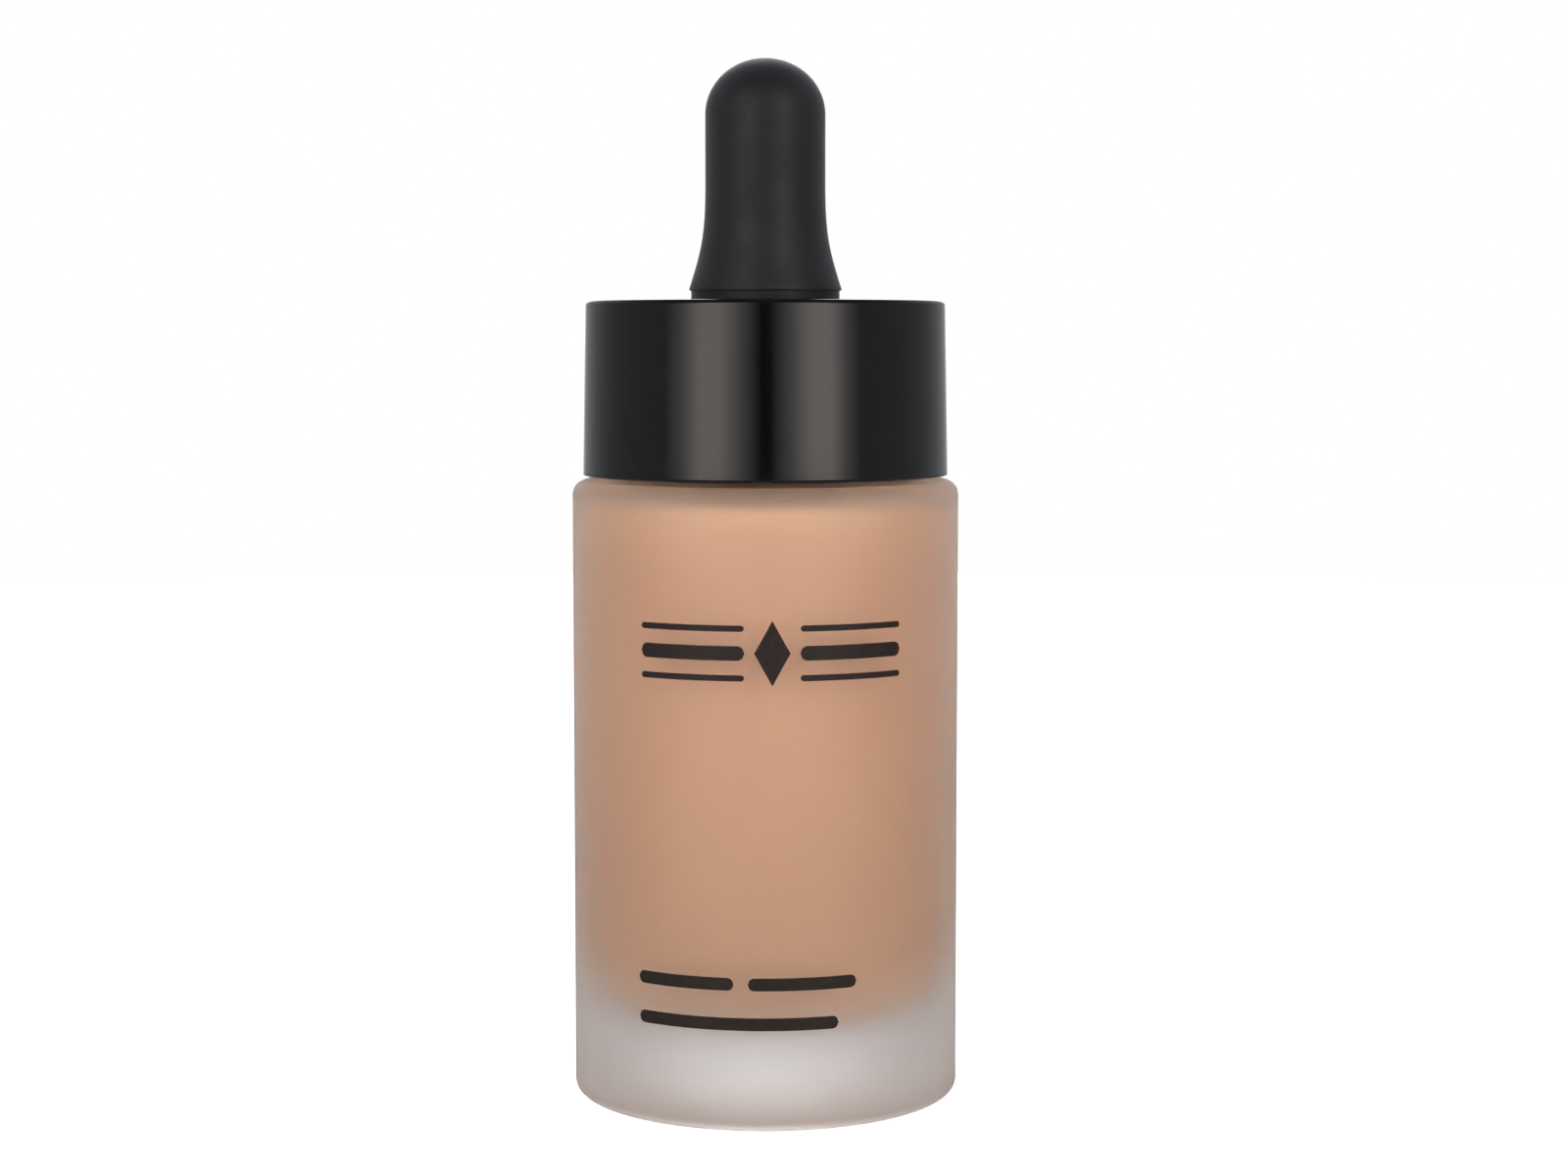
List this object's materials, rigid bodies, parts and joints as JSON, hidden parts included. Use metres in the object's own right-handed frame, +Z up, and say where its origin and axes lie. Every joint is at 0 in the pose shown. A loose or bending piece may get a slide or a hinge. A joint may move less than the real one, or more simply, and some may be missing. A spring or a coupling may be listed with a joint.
{
  "type": "foundation bottle with dropper",
  "caption": "Frosted glass foundation bottle with a screw-on dropper cap: glossy black collar, black rubber bulb and a glass pipette that reaches into the foundation.",
  "frame": {"origin": "centre of the ring that the bottle stands on", "axes": "+Z up along the bottle's own axis; +Y points away from the viewer of the front, which faces -Y"},
  "size_m": [0.036, 0.036, 0.0965],
  "materials": {
    "frosted_glass": "acid-etched, satin",
    "clear_glass": "clear, polished",
    "foundation": "opaque peach-beige liquid",
    "natural_plastic": "translucent natural polyethylene",
    "label_paper": "coated paper, plain",
    "collar_black": "high gloss",
    "inner_cap_black": "moulded, matte",
    "bulb_rubber": "satin",
    "washer_foam": "closed-cell foam"
  },
  "bodies": {
    "bottle": {"glass_bottle": "frosted_glass", "foundation_liquid": "foundation", "neck_wiper": "natural_plastic", "shade_label": "label_paper"},
    "washer": {"sealing_washer": "washer_foam"},
    "dropper": {"pipette_holder": "natural_plastic", "glass_pipette": "clear_glass", "pipette_liquid": "foundation"},
    "closure": {"outer_collar": "collar_black", "inner_cap": "inner_cap_black"},
    "bulb": {"rubber_bulb": "bulb_rubber"}
  },
  "joints": [
    {"name": "dropper_lift", "type": "slide", "parent": "bottle", "child": "washer", "axis": [0, 0, 1], "range_m": [0, 0.062]},
    {"name": "thread_climb", "type": "slide", "parent": "washer", "child": "dropper", "axis": [0, 0, 1], "range_m": [0, 0.0034]},
    {"name": "cap_unscrew", "type": "hinge", "parent": "dropper", "child": "closure", "pos_m": [0, 0, 0.066], "axis": [0, 0, 1], "range_deg": [0, 400]},
    {"name": "bulb_squeeze", "type": "slide", "parent": "closure", "child": "bulb", "axis": [0, 0, -1], "range_m": [0, 0.005], "stiffness_N_per_m": 1000, "deforming": ["rubber_bulb"]}
  ],
  "couplings": [
    {"joint": "thread_climb", "follows": "cap_unscrew", "m_per_rad": 0.00047746}
  ]
}
